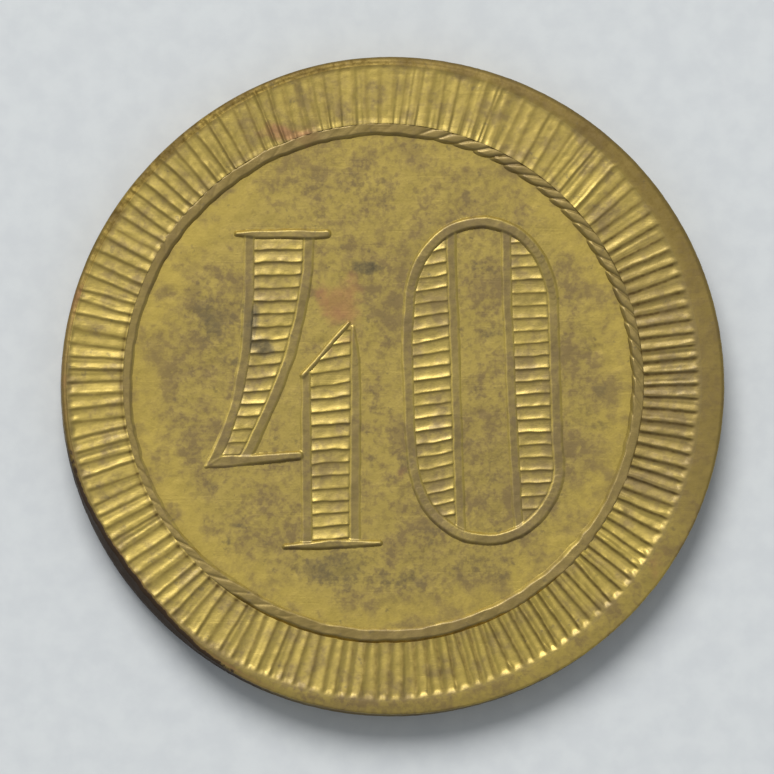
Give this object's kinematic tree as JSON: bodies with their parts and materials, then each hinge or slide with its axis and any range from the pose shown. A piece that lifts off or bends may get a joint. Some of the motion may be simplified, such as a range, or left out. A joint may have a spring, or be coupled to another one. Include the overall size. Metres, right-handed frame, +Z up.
{
  "type": "transit token",
  "caption": "Struck brass fare token: plain-edged flan whose faces carry a rim, a border of radial rays, a rope circle and a value in hatched open numerals.",
  "frame": {"origin": "on the flan's axis, in the plane that the reverse rim rests on", "axes": "+Z up, out of the obverse; +Y towards the top of the numerals; +X towards their right"},
  "size_m": [0.0284, 0.0284, 0.002],
  "materials": {
    "flan_brass": "worn, dull yellow brass with brown toning",
    "rim_brass": "rubbed, toned brown-yellow",
    "ray_brass": "struck, brighter in the flutes",
    "rope_brass": "rubbed flat, greyish olive",
    "frame_brass": "rubbed flat, greyish olive",
    "hatching_brass": "struck, bright yellow"
  },
  "bodies": {
    "root": {"flan": "flan_brass", "obverse_rim": "rim_brass", "obverse_ray_border": "ray_brass", "obverse_rope_circle": "rope_brass", "obverse_four_frame": "frame_brass", "obverse_four_hatching": "hatching_brass", "obverse_zero_frame": "frame_brass", "obverse_zero_hatching": "hatching_brass", "reverse_rim": "rim_brass", "reverse_ray_border": "ray_brass", "reverse_rope_circle": "rope_brass", "reverse_four_frame": "frame_brass", "reverse_four_hatching": "hatching_brass", "reverse_zero_frame": "frame_brass", "reverse_zero_hatching": "hatching_brass"}
  },
  "joints": []
}
